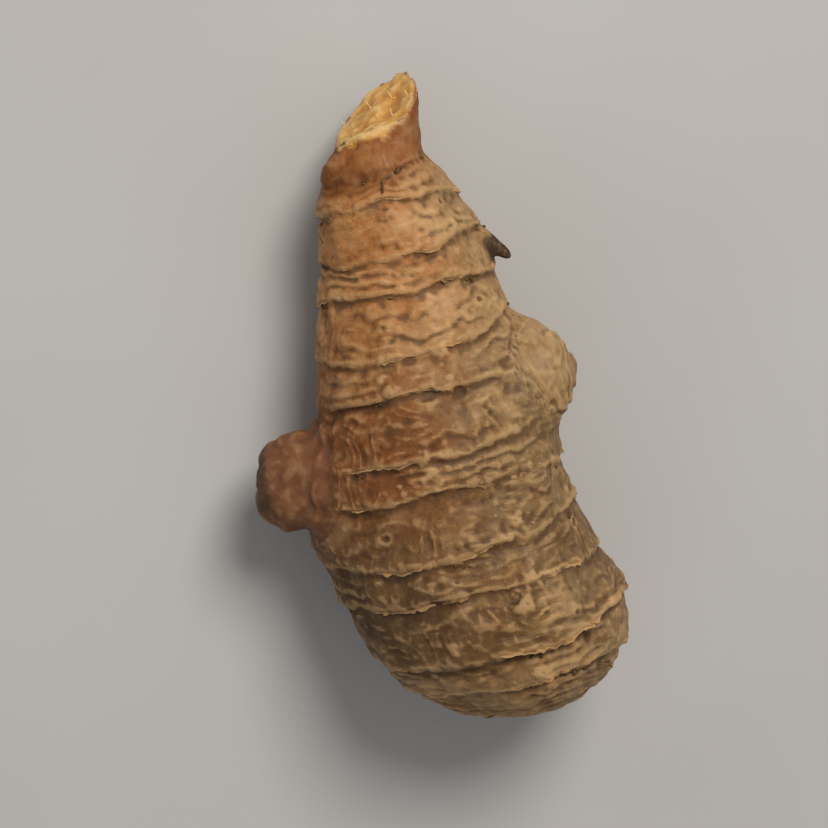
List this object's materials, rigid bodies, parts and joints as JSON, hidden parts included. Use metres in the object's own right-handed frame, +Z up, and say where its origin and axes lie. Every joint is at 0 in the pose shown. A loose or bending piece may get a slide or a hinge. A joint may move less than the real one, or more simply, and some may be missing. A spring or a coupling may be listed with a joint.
{
  "type": "turmeric root",
  "caption": "Fresh turmeric root finger, snapped off at a narrow neck, with leaf-scar rings, a side bud and a short side finger.",
  "frame": {"origin": "on the surface that the root lies on, under the middle of its box", "axes": "+X runs along the root from the snapped neck to the rounded growing end, +Y towards the side bud, +Z up"},
  "size_m": [0.059, 0.0306, 0.0227],
  "materials": {
    "turmeric_skin": "matt corky skin, tan-brown with an orange blush, and deep orange flesh on the torn neck"
  },
  "bodies": {
    "root": {"turmeric_root": "turmeric_skin"}
  },
  "joints": []
}
